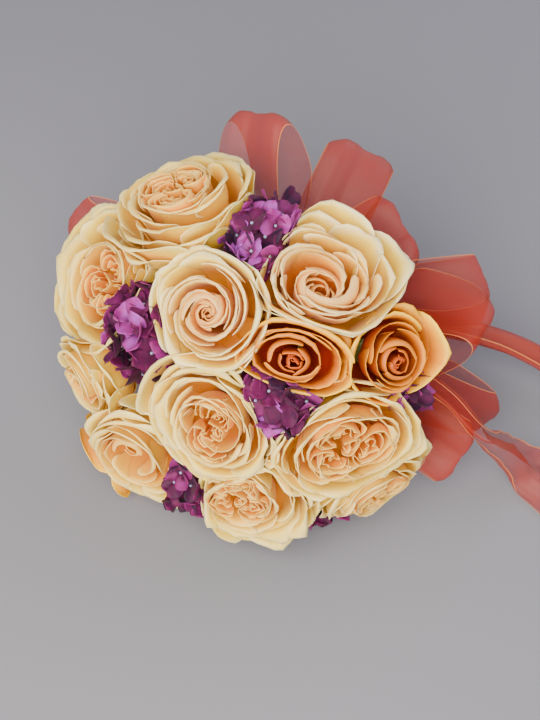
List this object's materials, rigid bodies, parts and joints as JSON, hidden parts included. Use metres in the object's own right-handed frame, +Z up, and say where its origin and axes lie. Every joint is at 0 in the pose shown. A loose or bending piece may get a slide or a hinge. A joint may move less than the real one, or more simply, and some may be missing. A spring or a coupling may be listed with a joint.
{
  "type": "rose bouquet",
  "caption": "Hand-tied posy of open cream and golden-orange roses with purple hydrangea, a wrapped handle and a rust organza bow, lying on its side.",
  "frame": {"origin": "centre of the bounding box in X and Y, at the height of the surface that the posy lies on", "axes": "+Z up; +X to the right along the longest extent, towards the loose ribbon tails; -Y towards the side that the flowers face, with the stems running back and down towards +Y"},
  "size_m": [0.4218, 0.2547, 0.2095],
  "materials": {
    "cream_petal": "soft matt petal, cream at the rim and peach in the folds",
    "orange_petal": "soft matt petal, golden orange with a deep orange-red heart",
    "purple_sepal": "matt sepals, purple to magenta",
    "green_stem": "smooth waxy green bark, satin",
    "rust_organza": "sheer rust-red organza with a soft sheen",
    "binding": "waxed green florist's tape, satin"
  },
  "bodies": {
    "root": {"binding_tape": "binding", "handle_wrap": "rust_organza", "hydrangea_1_florets": "purple_sepal", "hydrangea_1_stem": "green_stem", "hydrangea_2_florets": "purple_sepal", "hydrangea_2_stem": "green_stem", "hydrangea_3_florets": "purple_sepal", "hydrangea_3_stem": "green_stem", "hydrangea_4_florets": "purple_sepal", "hydrangea_4_stem": "green_stem", "hydrangea_5_florets": "purple_sepal", "hydrangea_5_stem": "green_stem", "hydrangea_6_florets": "purple_sepal", "hydrangea_6_stem": "green_stem", "ribbon_knot": "rust_organza", "ribbon_loop_1": "rust_organza", "ribbon_loop_2": "rust_organza", "ribbon_loop_3": "rust_organza", "ribbon_loop_4": "rust_organza", "ribbon_loop_5": "rust_organza", "ribbon_loop_6": "rust_organza", "ribbon_loop_7": "rust_organza", "ribbon_loop_8": "rust_organza", "ribbon_tail_back": "rust_organza", "ribbon_tail_front": "rust_organza", "rose_01_petals": "cream_petal", "rose_01_stem": "green_stem", "rose_02_petals": "cream_petal", "rose_02_stem": "green_stem", "rose_03_petals": "cream_petal", "rose_03_stem": "green_stem", "rose_04_petals": "cream_petal", "rose_04_stem": "green_stem", "rose_05_petals": "cream_petal", "rose_05_stem": "green_stem", "rose_06_petals": "cream_petal", "rose_06_stem": "green_stem", "rose_07_petals": "cream_petal", "rose_07_stem": "green_stem", "rose_08_petals": "cream_petal", "rose_08_stem": "green_stem", "rose_09_petals": "cream_petal", "rose_09_stem": "green_stem", "rose_10_petals": "cream_petal", "rose_10_stem": "green_stem", "rose_11_petals": "orange_petal", "rose_11_stem": "green_stem", "rose_12_petals": "orange_petal", "rose_12_stem": "green_stem", "rose_13_petals": "orange_petal", "rose_13_stem": "green_stem", "rose_14_petals": "cream_petal", "rose_14_stem": "green_stem", "tie_band": "rust_organza"}
  },
  "joints": []
}
